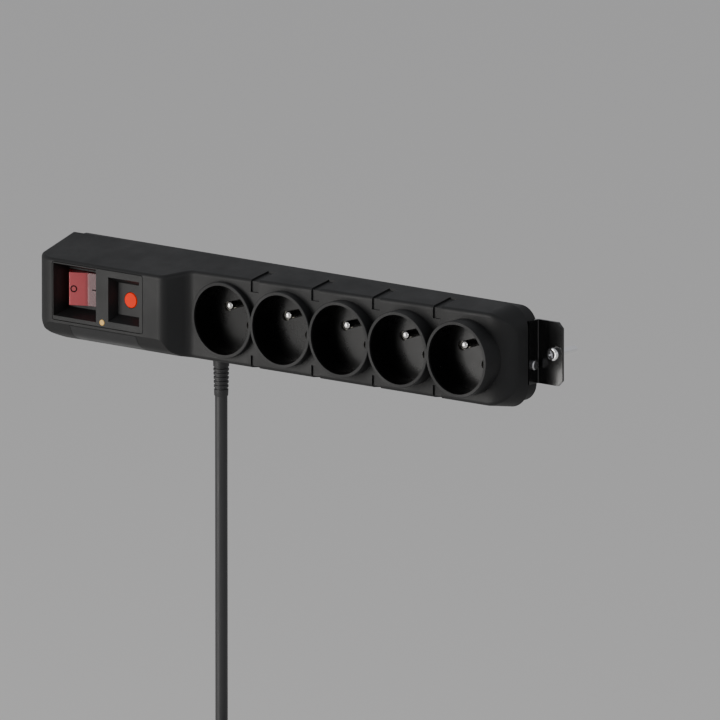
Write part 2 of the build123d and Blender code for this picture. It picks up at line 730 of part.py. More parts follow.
for name, routes in wire_routes.items():
    with BuildPart() as wire:
        for route in routes:
            with BuildLine() as path:
                FilletPolyline(*route, radius=1.9)
            run = path.wire()
            with BuildSketch(Plane(origin=run @ 0, z_dir=run % 0)):
                Circle(core_radius)
            sweep(path=run)
    save(wire, name)

# ---- cord clamp, strain relief and the screws ----
with BuildPart() as cord_clamp:
    with BuildSketch(facing(cord_x, -13.0, -18.5)):
        RectangleRounded(20, 5.6, 1.0)
    extrude(amount=4.6)
    with BuildSketch(Plane.XY.offset(-30)):
        with Locations((cord_x, cord_y)):
            Circle(cord_radius + 0.05)
    extrude(amount=30, mode=Mode.SUBTRACT)
    with BuildSketch(facing(cord_x, -12, -18.5)):
        with GridLocations(14.4, 0, 2, 1):
            Circle(cover_screw_radius + 0.15)
    extrude(amount=8, mode=Mode.SUBTRACT)
save(cord_clamp, "cord_clamp")

with BuildPart() as clamp_screws:
    for x in (cord_x - 7.2, cord_x + 7.2):
        add(screw(x, -17.65, -18.5, cover_screw_radius, 14.0, 2.6, 1.8))
save(clamp_screws, "clamp_screws")

front_bottom = side_z(split_y)
inner_bottom = body_height / 2 - hollow_inset
with BuildPart() as strain_relief:
    with BuildSketch(Plane.XY.offset(-inner_bottom + 0.1)):
        with Locations((cord_x, cord_y)):
            Circle(cord_radius + 3.0)
    extrude(amount=2.0)
    with BuildSketch(Plane.XY.offset(-front_bottom - 1.0)):
        with Locations((cord_x, cord_y)):
            Circle(cord_radius + 1.9)
    extrude(amount=front_bottom + 1.0 - inner_bottom + 0.2)
    with BuildSketch(Plane.XY.offset(-front_bottom - 0.9)):
        with Locations((cord_x, cord_y)):
            Circle(cord_radius + 1.1)
    with BuildSketch(Plane.XY.offset(-front_bottom - boot_length)):
        with Locations((cord_x, cord_y)):
            Circle(cord_radius + 0.45)
    loft(ruled=True)
    with BuildSketch(Plane.XY.offset(-front_bottom - boot_length - 1)):
        with Locations((cord_x, cord_y)):
            Circle(cord_radius - 0.05)
    extrude(amount=40, mode=Mode.SUBTRACT)
save(strain_relief, "strain_relief")

with BuildPart() as cover_screw_set:
    for boss_x, boss_height in cover_screws:
        for z in (boss_height, -boss_height):
            with BuildSketch(Plane.XZ.offset(1.7)):
                with Locations((boss_x, z)):
                    Circle(2.8)
            extrude(amount=2.25)
            with BuildSketch(Plane.XZ.offset(3.0)):
                with Locations((boss_x, z)):
                    Circle(cover_screw_radius)
            extrude(amount=17.0)
            with BuildSketch(Plane.XZ.offset(1.7)):
                with Locations((boss_x, z)):
                    Rectangle(3.4, 0.8)
                    Rectangle(0.8, 3.4)
            extrude(amount=1.1, mode=Mode.SUBTRACT)
save(cover_screw_set, "cover_screws")

# ---- brackets at both ends ----
leg_inner = rear_end + 0.05
leg_outer = leg_inner + bracket_thick
plate_end = leg_outer + bracket_reach
leg_front = split_y + 1.5
for name, side in (("bracket_left", -1), ("bracket_right", 1)):
    with BuildPart() as bracket:
        with BuildSketch(Plane.XY.offset(bracket_z - bracket_height / 2)) as profile:
            Polygon(
                (side * leg_inner, 0), (side * plate_end, 0), (side * plate_end, -bracket_thick),
                (side * leg_outer, -bracket_thick), (side * leg_outer, leg_front), (side * leg_inner, leg_front),
                align=None,
            )
            corners = profile.vertices().sort_by_distance(Vector(side * leg_inner, 0))
            fillet(corners[0], radius=bracket_thick + 0.6)
            inner = profile.vertices().sort_by_distance(Vector(side * leg_outer, -bracket_thick))
            fillet(inner[0], radius=0.6)
        extrude(amount=bracket_height)
        far_edges = bracket.edges().filter_by(Axis.Y).sort_by(Axis.X)
        chamfer(far_edges[-2:] if side > 0 else far_edges[:2], length=bracket_corner)
        with BuildSketch(facing(side * wall_screw_span / 2, 1, bracket_z)):
            Circle(wall_screw_radius + 0.25)
        extrude(amount=5, mode=Mode.SUBTRACT)
        with BuildSketch(Plane.YZ.offset(side * (leg_outer + 1))):
            with Locations(bracket_screw_at):
                Circle(cover_screw_radius + 0.25)
        extrude(amount=-side * 4, mode=Mode.SUBTRACT)
    save(bracket, name)

with BuildPart() as bracket_screws:
    for side in (1, -1):
        with BuildSketch(Plane.YZ.offset(side * (leg_outer + 0.02))):
            with Locations(bracket_screw_at):
                Circle(2.9)
        extrude(amount=side * 2.0)
        head_edges = bracket_screws.faces().sort_by(Axis.X)[-1 if side > 0 else 0].edges()
        fillet(head_edges, radius=0.9)
        with BuildSketch(Plane.YZ.offset(side * (leg_outer + 0.1))):
            with Locations(bracket_screw_at):
                Circle(cover_screw_radius)
        extrude(amount=-side * 7.5)
save(bracket_screws, "bracket_screws")

with BuildPart() as wall_screws:
    for side in (1, -1):
        x = side * wall_screw_span / 2
        seat = -bracket_thick - 0.05
        add(screw(x, seat, bracket_z, wall_screw_radius, wall_screw_length - seat, wall_head_radius,
                  wall_head_height, wall_screw_neck, 0.3 - seat))
    chamfer(wall_screws.faces().sort_by(Axis.Y)[-2:].edges(), length=1.3)
save(wall_screws, "wall_screws")

# ---- mains lead: straight drop, tied coil, short tail and plug ----
coil_x = cord_x + coil_turn_radius
coil_pitch = 2 * cord_radius
coil_y = cord_y - coil_pitch * (coil_layers - 1) / 2
tail_y = cord_y - coil_pitch * (coil_layers - 1)
coil_outer = coil_turn_radius + cord_radius
coil_radial = 2 * coil_pitch
coil_axial = coil_layers * coil_pitch
join = 16.0

with BuildPart() as cord:
    with BuildSketch(Plane.XY.offset(coil_z + join)):
        with Locations((cord_x, cord_y)):
            Circle(cord_radius)
    extrude(amount=cord_inner_z - coil_z - join)
save(cord, "cord")
lead_length = cord_inner_z - coil_z - join
print("lead volume over section times length", cord.part.volume / (pi * cord_radius ** 2 * lead_length))

with BuildPart() as cord_coil:
    with BuildSketch(Plane.XY.offset(coil_z)) as section:
        with Locations((coil_x + coil_outer - coil_radial / 2, coil_y)):
            RectangleRounded(coil_radial, coil_axial, cord_radius)
    revolve(axis=Axis((coil_x, 0, coil_z), (0, 1, 0)))
save(cord_coil, "cord_coil")

with BuildPart() as cord_ties:
    for side in (1, -1):
        with BuildSketch(Plane.XY.offset(coil_z - tie_width / 2)):
            with Locations((coil_x + side * (coil_outer - coil_radial / 2), coil_y)):
                RectangleRounded(coil_radial + 2 * tie_thick + 1.4, coil_axial + 2 * tie_thick + 0.6, cord_radius + 1.2)
                RectangleRounded(coil_radial + 1.4, coil_axial + 0.6, cord_radius, mode=Mode.SUBTRACT)
        extrude(amount=tie_width)
save(cord_ties, "cord_ties")

boot_top = coil_z - boot_top_drop
with BuildPart() as cord_tail:
    with BuildSketch(Plane.XY.offset(boot_top)):
        with Locations((cord_x, tail_y)):
            Circle(cord_radius)
    extrude(amount=boot_top_drop - join)
save(cord_tail, "cord_tail")

plug_top = boot_top - plug_boot_length
plug_face = plug_top - plug_body_length
with BuildPart() as plug_body:
    with BuildSketch(Plane(origin=(cord_x, tail_y, 0), x_dir=(1, 0, 0), z_dir=(0, -1, 0))):
        with BuildLine():
            Polyline(
                (0, boot_top), (cord_radius + 1.0, boot_top), (7.0, plug_top), (11.5, plug_top - 2),
            )
            Spline((11.5, plug_top - 2), (13.2, plug_top - 12), (plug_radius, plug_top - 21),
                   tangents=[(0.3, -1), (0.5, -1)])
            Polyline((plug_radius, plug_top - 21), (plug_radius, plug_face), (0, plug_face), (0, boot_top))
        make_face()
    revolve(axis=Axis((cord_x, tail_y, 0), (0, 0, 1)))
    chamfer(plug_body.faces().sort_by(Axis.Z)[0].edges(), length=1.0)
    with BuildSketch(Plane.XY.offset(plug_face)):
        with Locations((cord_x, tail_y)):
            with GridLocations(0, 2 * plug_radius, 1, 2):
                Rectangle(9.0, 6.0)
    extrude(amount=16, mode=Mode.SUBTRACT)
    with BuildSketch(Plane.XY.offset(plug_face)):
        with Locations((cord_x, tail_y - earth_pin_offset)):
            Circle(2.6)
    extrude(amount=14, mode=Mode.SUBTRACT)
    with BuildSketch(Plane.XY.offset(plug_face)):
        with Locations((cord_x, tail_y)):
            with GridLocations(contact_spacing, 0, 2, 1):
                Circle(2.45)
    extrude(amount=6, mode=Mode.SUBTRACT)
save(plug_body, "plug_body")

with BuildPart() as plug_pins:
    with BuildSketch(Plane.XY.offset(plug_face + 5.9)):
        with Locations((cord_x, tail_y)):
            with GridLocations(contact_spacing, 0, 2, 1):
                Circle(2.4)
    extrude(amount=-plug_pin_length - 5.9)
    fillet(plug_pins.faces().sort_by(Axis.Z)[:2].edges(), radius=1.8)
save(plug_pins, "plug_pins")

with BuildPart() as plug_earth_clips:
    for side in (1, -1):
        with BuildSketch(Plane.XY.offset(plug_face + 0.5)):
            with Locations((cord_x, tail_y + side * (plug_radius - 2.5))):
                Rectangle(6.0, 0.8)
        extrude(amount=15.0)
        with BuildSketch(Plane.XY.offset(plug_face + 4.5)):
            with Locations((cord_x, tail_y + side * (plug_radius - 1.6))):
                Rectangle(6.0, 1.1)
        extrude(amount=7.0)
save(plug_earth_clips, "plug_earth_clips")
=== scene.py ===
from math import cos, pi, radians, sin

import bmesh
import bpy
from mathutils import Matrix, Vector


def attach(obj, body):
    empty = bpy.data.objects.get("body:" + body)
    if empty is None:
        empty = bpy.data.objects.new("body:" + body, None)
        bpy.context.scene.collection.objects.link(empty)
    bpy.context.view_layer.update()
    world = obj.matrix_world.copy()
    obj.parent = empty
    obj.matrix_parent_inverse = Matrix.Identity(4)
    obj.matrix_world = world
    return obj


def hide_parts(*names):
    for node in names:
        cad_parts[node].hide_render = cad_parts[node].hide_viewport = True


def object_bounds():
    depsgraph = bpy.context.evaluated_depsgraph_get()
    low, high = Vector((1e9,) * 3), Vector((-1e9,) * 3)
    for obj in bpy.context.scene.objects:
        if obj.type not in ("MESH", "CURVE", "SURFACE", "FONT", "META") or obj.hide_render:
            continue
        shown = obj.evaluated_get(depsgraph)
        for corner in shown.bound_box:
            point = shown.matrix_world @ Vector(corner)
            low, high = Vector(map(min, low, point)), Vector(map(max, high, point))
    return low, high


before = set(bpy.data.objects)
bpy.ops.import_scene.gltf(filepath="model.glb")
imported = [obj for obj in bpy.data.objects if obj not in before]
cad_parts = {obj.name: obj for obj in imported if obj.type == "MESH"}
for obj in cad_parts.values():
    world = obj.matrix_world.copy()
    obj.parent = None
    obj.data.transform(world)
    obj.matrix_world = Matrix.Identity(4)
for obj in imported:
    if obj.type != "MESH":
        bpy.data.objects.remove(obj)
cad_box = [list(corner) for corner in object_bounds()]

# ---- Studio -------------------------------------------------------------
# A wide pale floor under the hanging plug, a large soft light in front, a low
# one that fills the underside, and a long lens that looks slightly down.
floor_gap, floor_half = 0.012, 30.0
floor_z = cad_box[0][2] - floor_gap
floor_mesh = bmesh.new()
bmesh.ops.create_grid(floor_mesh, x_segments=2, y_segments=2, size=floor_half)
bmesh.ops.translate(floor_mesh, vec=(0, 0, floor_z), verts=floor_mesh.verts)
floor_data = bpy.data.meshes.new("studio_floor")
floor_mesh.to_mesh(floor_data)
floor_mesh.free()
studio_floor = bpy.data.objects.new("studio_floor", floor_data)
bpy.context.collection.objects.link(studio_floor)

floor_paint = bpy.data.materials.new("floor_paint")
floor_paint.use_nodes = True
floor_shader = floor_paint.node_tree.nodes["Principled BSDF"]
floor_shader.inputs["Base Color"].default_value = (0.80, 0.79, 0.77, 1)
floor_shader.inputs["Roughness"].default_value = 0.9
floor_data.materials.append(floor_paint)

studio_world = bpy.data.worlds.new("studio_world")
studio_world.use_nodes = True
sky = studio_world.node_tree.nodes["Background"]
sky.inputs["Color"].default_value = (0.88, 0.89, 0.92, 1)
sky.inputs["Strength"].default_value = 0.5
bpy.context.scene.world = studio_world

aim = Vector((0.06903, -0.040, -0.00940))  # the point in the middle of the view


def soft_light(name, place, size, watts, colour):
    """A square soft light that faces the strip."""
    lamp = bpy.data.lights.new(name, "AREA")
    lamp.shape, lamp.size, lamp.energy, lamp.color = "SQUARE", size, watts, colour
    holder = bpy.data.objects.new(name, lamp)
    holder.location = place
    holder.rotation_euler = (aim - Vector(place)).to_track_quat("-Z", "Y").to_euler()
    bpy.context.collection.objects.link(holder)


soft_light("front_light", (-1.2, -2.1, 0.45), 1.1, 30, (1.0, 0.98, 0.95))
soft_light("low_light", (-0.5, -1.2, -0.34), 0.5, 5, (1.0, 0.99, 0.97))
soft_light("side_light", (1.8, -0.7, 0.5), 0.7, 3, (0.95, 0.97, 1.0))

camera_turn, camera_rise, camera_reach = radians(39.26), radians(11.86), 15.0
view_width, sensor_width = 0.4062, 36.0  # metres across the view at the aim, millimetres across the sensor
camera = bpy.data.objects.new("camera", bpy.data.cameras.new("camera"))
camera.data.sensor_width = sensor_width
camera.data.lens = sensor_width * camera_reach / view_width
camera.data.clip_start, camera.data.clip_end = 1.0, 90.0
away = Vector((sin(camera_turn) * cos(camera_rise), -cos(camera_turn) * cos(camera_rise), sin(camera_rise)))
camera.location = aim + away * camera_reach
camera.rotation_euler = (-away).to_track_quat("-Z", "Y").to_euler()
bpy.context.collection.objects.link(camera)
bpy.context.scene.camera = camera

# ---- Mains lead ---------------------------------------------------------
# A round rubber-sheathed three-core lead, 7.2 mm across and a metre and a half
# long. It drops from the boot, is wound five times round, and ends in its plug.
# The curve's thickness comes from its points, so that its box fits it closely.
lead_radius = 0.0036
lead_x, lead_y = -0.0565, -0.0110
coil_radius = 0.0420
coil_x, coil_z = lead_x + coil_radius, -0.2960
coil_step = 2 * lead_radius
coil_turns, turn_points = 5, 16
inner_radius = coil_radius - coil_step
layers = [lead_y, lead_y - coil_step, lead_y - 2 * coil_step]

# degrees wound, radius and layer: a turn moves over before it comes back to where the last one lies
winding = [
    (0, coil_radius, layers[0]), (290, coil_radius, layers[0]),
    (350, inner_radius, layers[0]), (650, inner_radius, layers[0]),
    (710, inner_radius, layers[1]), (1010, inner_radius, layers[1]),
    (1070, coil_radius, layers[1]), (1370, coil_radius, layers[1]),
    (1430, inner_radius, layers[2]), (1455, inner_radius, layers[2]),
    (1515, coil_radius, layers[2]), (1800, coil_radius, layers[2]),
]


def wound(angle):
    """Radius and layer of the winding at an angle from its start, in degrees."""
    for (angle_0, radius_0, layer_0), (angle_1, radius_1, layer_1) in zip(winding, winding[1:]):
        if angle <= angle_1:
            share = (angle - angle_0) / (angle_1 - angle_0)
            return radius_0 + (radius_1 - radius_0) * share, layer_0 + (layer_1 - layer_0) * share


lead_points = [
    (lead_x, lead_y, -0.0300), (lead_x, lead_y, -0.0750), (lead_x, lead_y, -0.1500),
    (lead_x, lead_y, -0.2300), (lead_x, lead_y, -0.2700),
]
for i in range(coil_turns * turn_points):
    angle = (i + 0.5) * 360 / turn_points
    radius, layer = wound(angle)
    reach = radius / cos(pi / turn_points)
    lead_points.append((coil_x - reach * cos(radians(angle)), layer, coil_z - reach * sin(radians(angle))))
lead_points += [(lead_x, layers[2], -0.3120), (lead_x, layers[2], -0.3330)]

lead_curve = bpy.data.curves.new("mains_lead", "CURVE")
lead_curve.dimensions = "3D"
lead_curve.bevel_depth = 1.0
lead_curve.bevel_resolution = 6
lead_curve.resolution_u = 8
lead_curve.use_fill_caps = True
lead_spline = lead_curve.splines.new("NURBS")
lead_spline.points.add(len(lead_points) - 1)
for point, place in zip(lead_spline.points, lead_points):
    point.co = (*place, 1)
    point.radius = lead_radius
lead_spline.order_u = 3
lead_spline.use_endpoint_u = True
mains_lead = bpy.data.objects.new("mains_lead", lead_curve)
bpy.context.collection.objects.link(mains_lead)
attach(mains_lead, "strip")
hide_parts("cord", "cord_coil", "cord_tail")


def new_group(name, outputs, **numbers):
    """An empty shader group with float inputs at their usual values, and its two ends."""
    group = bpy.data.node_groups.new(name, "ShaderNodeTree")
    for label, value in numbers.items():
        socket = group.interface.new_socket(label, in_out="INPUT", socket_type="NodeSocketFloat")
        socket.default_value = value
    for label in outputs:
        group.interface.new_socket(label, in_out="OUTPUT", socket_type="NodeSocketFloat")
    return group, group.nodes.new("NodeGroupInput"), group.nodes.new("NodeGroupOutput")


# A spark-eroded mould leaves a fine grain, and handling leaves a slow drift of gloss over it.
moulded_grain, grain_in, grain_out = new_group("moulded_grain", ("Grain", "Drift"), Size=2600.0, Spread=45.0)
grain_place = moulded_grain.nodes.new("ShaderNodeTexCoord")
fine_grain = moulded_grain.nodes.new("ShaderNodeTexNoise")
fine_grain.inputs["Detail"].default_value = 3.0
slow_drift = moulded_grain.nodes.new("ShaderNodeTexNoise")
slow_drift.inputs["Detail"].default_value = 4.0
slow_drift.inputs["Roughness"].default_value = 0.62
join = moulded_grain.links.new
join(grain_place.outputs["Object"], fine_grain.inputs["Vector"])
join(grain_place.outputs["Object"], slow_drift.inputs["Vector"])
join(grain_in.outputs["Size"], fine_grain.inputs["Scale"])
join(grain_in.outputs["Spread"], slow_drift.inputs["Scale"])
join(fine_grain.outputs["Fac"], grain_out.inputs["Grain"])
join(slow_drift.outputs["Fac"], grain_out.inputs["Drift"])


def plastic(name, colour, paler, rough, grain, size=2600.0, spread=45.0, coat=0.0, specular=0.5):
    """Moulded plastic or rubber: two close colours and a roughness range, with a grained surface."""
    made = bpy.data.materials.new(name)
    made.use_nodes = True
    tree = made.node_tree
    shader = tree.nodes["Principled BSDF"]
    group = tree.nodes.new("ShaderNodeGroup")
    group.node_tree = moulded_grain
    group.inputs["Size"].default_value = size
    group.inputs["Spread"].default_value = spread
    tint = tree.nodes.new("ShaderNodeMix")
    tint.data_type = "RGBA"
    tint.inputs["A"].default_value = (*colour, 1)
    tint.inputs["B"].default_value = (*paler, 1)
    gloss = tree.nodes.new("ShaderNodeMapRange")
    gloss.inputs["From Min"].default_value, gloss.inputs["From Max"].default_value = 0.3, 0.7
    gloss.inputs["To Min"].default_value, gloss.inputs["To Max"].default_value = rough
    bump = tree.nodes.new("ShaderNodeBump")
    bump.inputs["Strength"].default_value = grain
    bump.inputs["Distance"].default_value = 0.00012
    tree.links.new(group.outputs["Drift"], tint.inputs["Factor"])
    tree.links.new(group.outputs["Drift"], gloss.inputs["Value"])
    tree.links.new(group.outputs["Grain"], bump.inputs["Height"])
    tree.links.new(tint.outputs["Result"], shader.inputs["Base Color"])
    tree.links.new(gloss.outputs["Result"], shader.inputs["Roughness"])
    tree.links.new(bump.outputs["Normal"], shader.inputs["Normal"])
    shader.inputs["Coat Weight"].default_value = coat
    shader.inputs["Coat Roughness"].default_value = 0.12
    shader.inputs["Specular IOR Level"].default_value = specular
    return made


sheath_rubber = plastic(
    "sheath_rubber", (0.020, 0.020, 0.021), (0.030, 0.030, 0.032), rough=(0.42, 0.58), grain=0.25, size=1800)
lead_curve.materials.append(sheath_rubber)

# ---- Boot ---------------------------------------------------------------
# A slim moulded sleeve that keeps the lead from kinking where it leaves the
# body. A flange holds it inside the covers, and ribs let it flex.
boot_top, boot_end = -0.0295, -0.0515
boot_bore, boot_wide, boot_slim = 0.00355, 0.0047, 0.00405
flange_radius, flange_top, flange_end = 0.0066, -0.0223, -0.0243
neck_radius, neck_end = 0.0055, boot_top - 0.0010
rib_count, rib_cut, rib_first, rib_spare = 6, 0.00055, 0.0040, 0.0075
boot_profile = [
    (boot_bore, flange_top), (flange_radius, flange_top), (flange_radius, flange_end),
    (neck_radius, flange_end), (neck_radius, neck_end), (boot_wide, neck_end - 0.0002),
]
rib_run = (boot_end - boot_top + rib_spare) / rib_count
for i in range(rib_count):
    start = boot_top - rib_first + i * rib_run
    for along, cut in ((0.30, 0), (0.38, rib_cut), (0.72, rib_cut), (0.80, 0)):
        z = start + along * rib_run
        share = (z - boot_top) / (boot_end - boot_top)
        boot_profile.append((boot_wide + (boot_slim - boot_wide) * share - cut, z))
boot_profile += [(boot_slim, boot_end + 0.0006), (boot_slim - 0.0003, boot_end), (boot_bore, boot_end)]
sharp_edge = radians(32)


def turned(name, profile, centre, steps=64):
    """A piece turned about an upright line: its profile is a closed run of radius and height."""
    shape = bmesh.new()
    corners = [shape.verts.new((radius, 0, z)) for radius, z in profile]
    edges = [shape.edges.new(pair) for pair in zip(corners, corners[1:] + corners[:1])]
    bmesh.ops.spin(shape, geom=corners + edges, axis=(0, 0, 1), cent=(0, 0, 0), steps=steps, angle=2 * pi,
                   use_merge=True)
    bmesh.ops.translate(shape, vec=(*centre, 0), verts=shape.verts)
    return placed(name, shape)


def placed(name, shape):
    """The finished bmesh as an object at the origin, its faces pointing outwards."""
    bmesh.ops.remove_doubles(shape, verts=shape.verts, dist=1e-7)
    bmesh.ops.recalc_face_normals(shape, faces=shape.faces)
    data = bpy.data.meshes.new(name)
    shape.to_mesh(data)
    shape.free()
    data.shade_smooth()
    data.set_sharp_from_angle(angle=sharp_edge)
    made = bpy.data.objects.new(name, data)
    bpy.context.collection.objects.link(made)
    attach(made, "strip")
    return made


lead_boot = turned("lead_boot", boot_profile, (lead_x, lead_y))
lead_boot.data.materials.append(plastic(
    "boot_rubber", (0.016, 0.016, 0.017), (0.024, 0.024, 0.026), rough=(0.45, 0.6), grain=0.3, size=2200))
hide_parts("strain_relief")

# ---- Covers -------------------------------------------------------------
# Two matt black mouldings that meet near the wall: the front one carries the
# head, the rings and the grooves, and the rear one is the tray behind it.


def finish(node, material):
    """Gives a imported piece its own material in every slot."""
    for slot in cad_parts[node].material_slots:
        slot.material = material


cover_plastic = plastic(
    "cover_plastic", (0.0060, 0.0061, 0.0064), (0.0088, 0.0090, 0.0094), rough=(0.48, 0.62), grain=0.45,
    size=2800, spread=38, specular=0.38)
finish("front_cover", cover_plastic)
rear_plastic = plastic(
    "rear_plastic", (0.0050, 0.0051, 0.0054), (0.0075, 0.0077, 0.0080), rough=(0.5, 0.64), grain=0.5,
    size=2400, spread=30, specular=0.35)
finish("rear_cover", rear_plastic)

# ---- Control panel and badge --------------------------------------------
# The panel is a separate flush moulding with two tapered pockets, a touch
# smoother than the cover. The badge is a blank satin plate let into the band.
panel_plastic = plastic(
    "panel_plastic", (0.0055, 0.0056, 0.0059), (0.0080, 0.0082, 0.0086), rough=(0.44, 0.56), grain=0.35,
    size=3000, spread=55, specular=0.38)
finish("control_panel", panel_plastic)
badge_plastic = plastic(
    "badge_plastic", (0.014, 0.0143, 0.0150), (0.018, 0.0183, 0.0192), rough=(0.36, 0.46), grain=0.2,
    size=3400, spread=60, specular=0.4)
finish("badge_plate", badge_plastic)

# ---- Sockets ------------------------------------------------------------
# Five polished black cups under the cover's rings, each with a nickel earth
# pin fixed through the earth rail and a pale nylon shutter behind its holes.
well_plastic = plastic(
    "well_plastic", (0.0012, 0.0012, 0.0013), (0.0020, 0.0020, 0.0021), rough=(0.24, 0.34), grain=0.04,
    size=900, spread=70, specular=0.3)
shutter_nylon = plastic(
    "shutter_nylon", (0.50, 0.48, 0.42), (0.60, 0.58, 0.51), rough=(0.38, 0.5), grain=0.2)

# Rolled and plated metal shows fine marks drawn out along one way, under a cloudy polish.
drawn_metal, drawn_in, drawn_out = new_group(
    "drawn_metal", ("Marks", "Cloud"), Fineness=900.0, Cloudiness=160.0)
drawn_place = drawn_metal.nodes.new("ShaderNodeTexCoord")
drawn_stretch = drawn_metal.nodes.new("ShaderNodeMapping")
drawn_stretch.inputs["Scale"].default_value = (0.06, 1.0, 1.0)
drawn_marks = drawn_metal.nodes.new("ShaderNodeTexNoise")
drawn_marks.inputs["Detail"].default_value = 2.0
metal_cloud = drawn_metal.nodes.new("ShaderNodeTexNoise")
metal_cloud.inputs["Detail"].default_value = 3.0
join = drawn_metal.links.new
join(drawn_place.outputs["Object"], drawn_stretch.inputs["Vector"])
join(drawn_stretch.outputs["Vector"], drawn_marks.inputs["Vector"])
join(drawn_place.outputs["Object"], metal_cloud.inputs["Vector"])
join(drawn_in.outputs["Fineness"], drawn_marks.inputs["Scale"])
join(drawn_in.outputs["Cloudiness"], metal_cloud.inputs["Scale"])
join(drawn_marks.outputs["Fac"], drawn_out.inputs["Marks"])
join(metal_cloud.outputs["Fac"], drawn_out.inputs["Cloud"])


def metal(name, colour, tarnish, rough, marks):
    """Bare or plated metal: a colour, its duller tone, and a roughness range."""
    made = bpy.data.materials.new(name)
    made.use_nodes = True
    tree = made.node_tree
    shader = tree.nodes["Principled BSDF"]
    shader.inputs["Metallic"].default_value = 1.0
    group = tree.nodes.new("ShaderNodeGroup")
    group.node_tree = drawn_metal
    tint = tree.nodes.new("ShaderNodeMix")
    tint.data_type = "RGBA"
    tint.inputs["A"].default_value = (*colour, 1)
    tint.inputs["B"].default_value = (*tarnish, 1)
    gloss = tree.nodes.new("ShaderNodeMapRange")
    gloss.inputs["From Min"].default_value, gloss.inputs["From Max"].default_value = 0.3, 0.7
    gloss.inputs["To Min"].default_value, gloss.inputs["To Max"].default_value = rough
    bump = tree.nodes.new("ShaderNodeBump")
    bump.inputs["Strength"].default_value = marks
    bump.inputs["Distance"].default_value = 0.00005
    tree.links.new(group.outputs["Cloud"], tint.inputs["Factor"])
    tree.links.new(group.outputs["Cloud"], gloss.inputs["Value"])
    tree.links.new(group.outputs["Marks"], bump.inputs["Height"])
    tree.links.new(tint.outputs["Result"], shader.inputs["Base Color"])
    tree.links.new(gloss.outputs["Result"], shader.inputs["Roughness"])
    tree.links.new(bump.outputs["Normal"], shader.inputs["Normal"])
    return made


pin_nickel = metal(
    "pin_nickel", (0.88, 0.87, 0.84), (0.80, 0.78, 0.74), rough=(0.05, 0.12), marks=0.03)
contact_brass = metal(
    "contact_brass", (0.80, 0.60, 0.28), (0.62, 0.44, 0.20), rough=(0.24, 0.38), marks=0.25)
for number in range(1, 6):
    finish(f"socket_insert_{number}", well_plastic)
    finish(f"earth_pin_{number}", pin_nickel)
    finish(f"shutter_{number}", shutter_nylon)
for rail in ("live_rail", "neutral_rail", "earth_rail"):
    finish(rail, contact_brass)

# ---- Rocker switch ------------------------------------------------------
# A red rocker over a neon lamp, in a black nylon housing with four brass blades.
# Its left half is painted a lighter red and its right half greyer, as painted light and
# shade, its ends a deeper red as painted shade, and the off and on marks are printed on it.
rocker_pivot = Vector((-0.1307, -0.0349, 0.0059))
rocker_tilt, rocker_valley = radians(16.5), radians(8.5)
valley_reach, half_rocker = 0.0088, 0.0111
halves_meet = (-0.1302, -0.1262)  # where the painted light of one half gives way to the painted shade of the other, along X

rocker_red = bpy.data.materials.new("rocker_red")
rocker_red.use_nodes = True
rocker_tree = rocker_red.node_tree
rocker_shader = rocker_tree.nodes["Principled BSDF"]
rocker_place = rocker_tree.nodes.new("ShaderNodeTexCoord")
rocker_split = rocker_tree.nodes.new("ShaderNodeSeparateXYZ")
# Painted light and shade: along X the left half gets a lighter red and the right half a greyer one.
painted_light_side = rocker_tree.nodes.new("ShaderNodeMapRange")
painted_light_side.interpolation_type = "SMOOTHSTEP"
painted_light_side.inputs["From Min"].default_value, painted_light_side.inputs["From Max"].default_value = halves_meet
painted_light_tint = rocker_tree.nodes.new("ShaderNodeMix")
painted_light_tint.data_type = "RGBA"
painted_light_tint.inputs["A"].default_value = (0.40, 0.075, 0.085, 1)
painted_light_tint.inputs["B"].default_value = (0.105, 0.034, 0.040, 1)
rocker_facing = rocker_tree.nodes.new("ShaderNodeNewGeometry")
facing_split = rocker_tree.nodes.new("ShaderNodeSeparateXYZ")
# Painted shade: faces pointing up or down, the rocker's ends, get a darker, deeper red.
end_face = rocker_tree.nodes.new("ShaderNodeMath")
end_face.operation = "ABSOLUTE"
end_shade_mask = rocker_tree.nodes.new("ShaderNodeMapRange")
end_shade_mask.inputs["From Min"].default_value, end_shade_mask.inputs["From Max"].default_value = 0.35, 0.8
painted_end_shade = rocker_tree.nodes.new("ShaderNodeMix")
painted_end_shade.data_type = "RGBA"
painted_end_shade.inputs["B"].default_value = (0.20, 0.004, 0.010, 1)
join = rocker_tree.links.new
join(rocker_place.outputs["Object"], rocker_split.inputs["Vector"])
join(rocker_split.outputs["X"], painted_light_side.inputs["Value"])
join(painted_light_side.outputs["Result"], painted_light_tint.inputs["Factor"])
join(rocker_facing.outputs["Normal"], facing_split.inputs["Vector"])
join(facing_split.outputs["Z"], end_face.inputs[0])
join(end_face.outputs["Value"], end_shade_mask.inputs["Value"])
join(end_shade_mask.outputs["Result"], painted_end_shade.inputs["Factor"])
join(painted_light_tint.outputs["Result"], painted_end_shade.inputs["A"])
join(painted_end_shade.outputs["Result"], rocker_shader.inputs["Base Color"])
rocker_grain = rocker_tree.nodes.new("ShaderNodeGroup")
rocker_grain.node_tree = moulded_grain
rocker_grain.inputs["Spread"].default_value = 220.0
rocker_gloss = rocker_tree.nodes.new("ShaderNodeMapRange")
rocker_gloss.inputs["To Min"].default_value, rocker_gloss.inputs["To Max"].default_value = 0.16, 0.30
join(rocker_grain.outputs["Drift"], rocker_gloss.inputs["Value"])
join(rocker_gloss.outputs["Result"], rocker_shader.inputs["Roughness"])
rocker_shader.inputs["Specular IOR Level"].default_value = 0.25
rocker_shader.inputs["Subsurface Weight"].default_value = 0.25
rocker_shader.inputs["Subsurface Radius"].default_value = (0.004, 0.001, 0.001)
rocker_shader.inputs["Subsurface Scale"].default_value = 0.6
finish("switch_rocker", rocker_red)

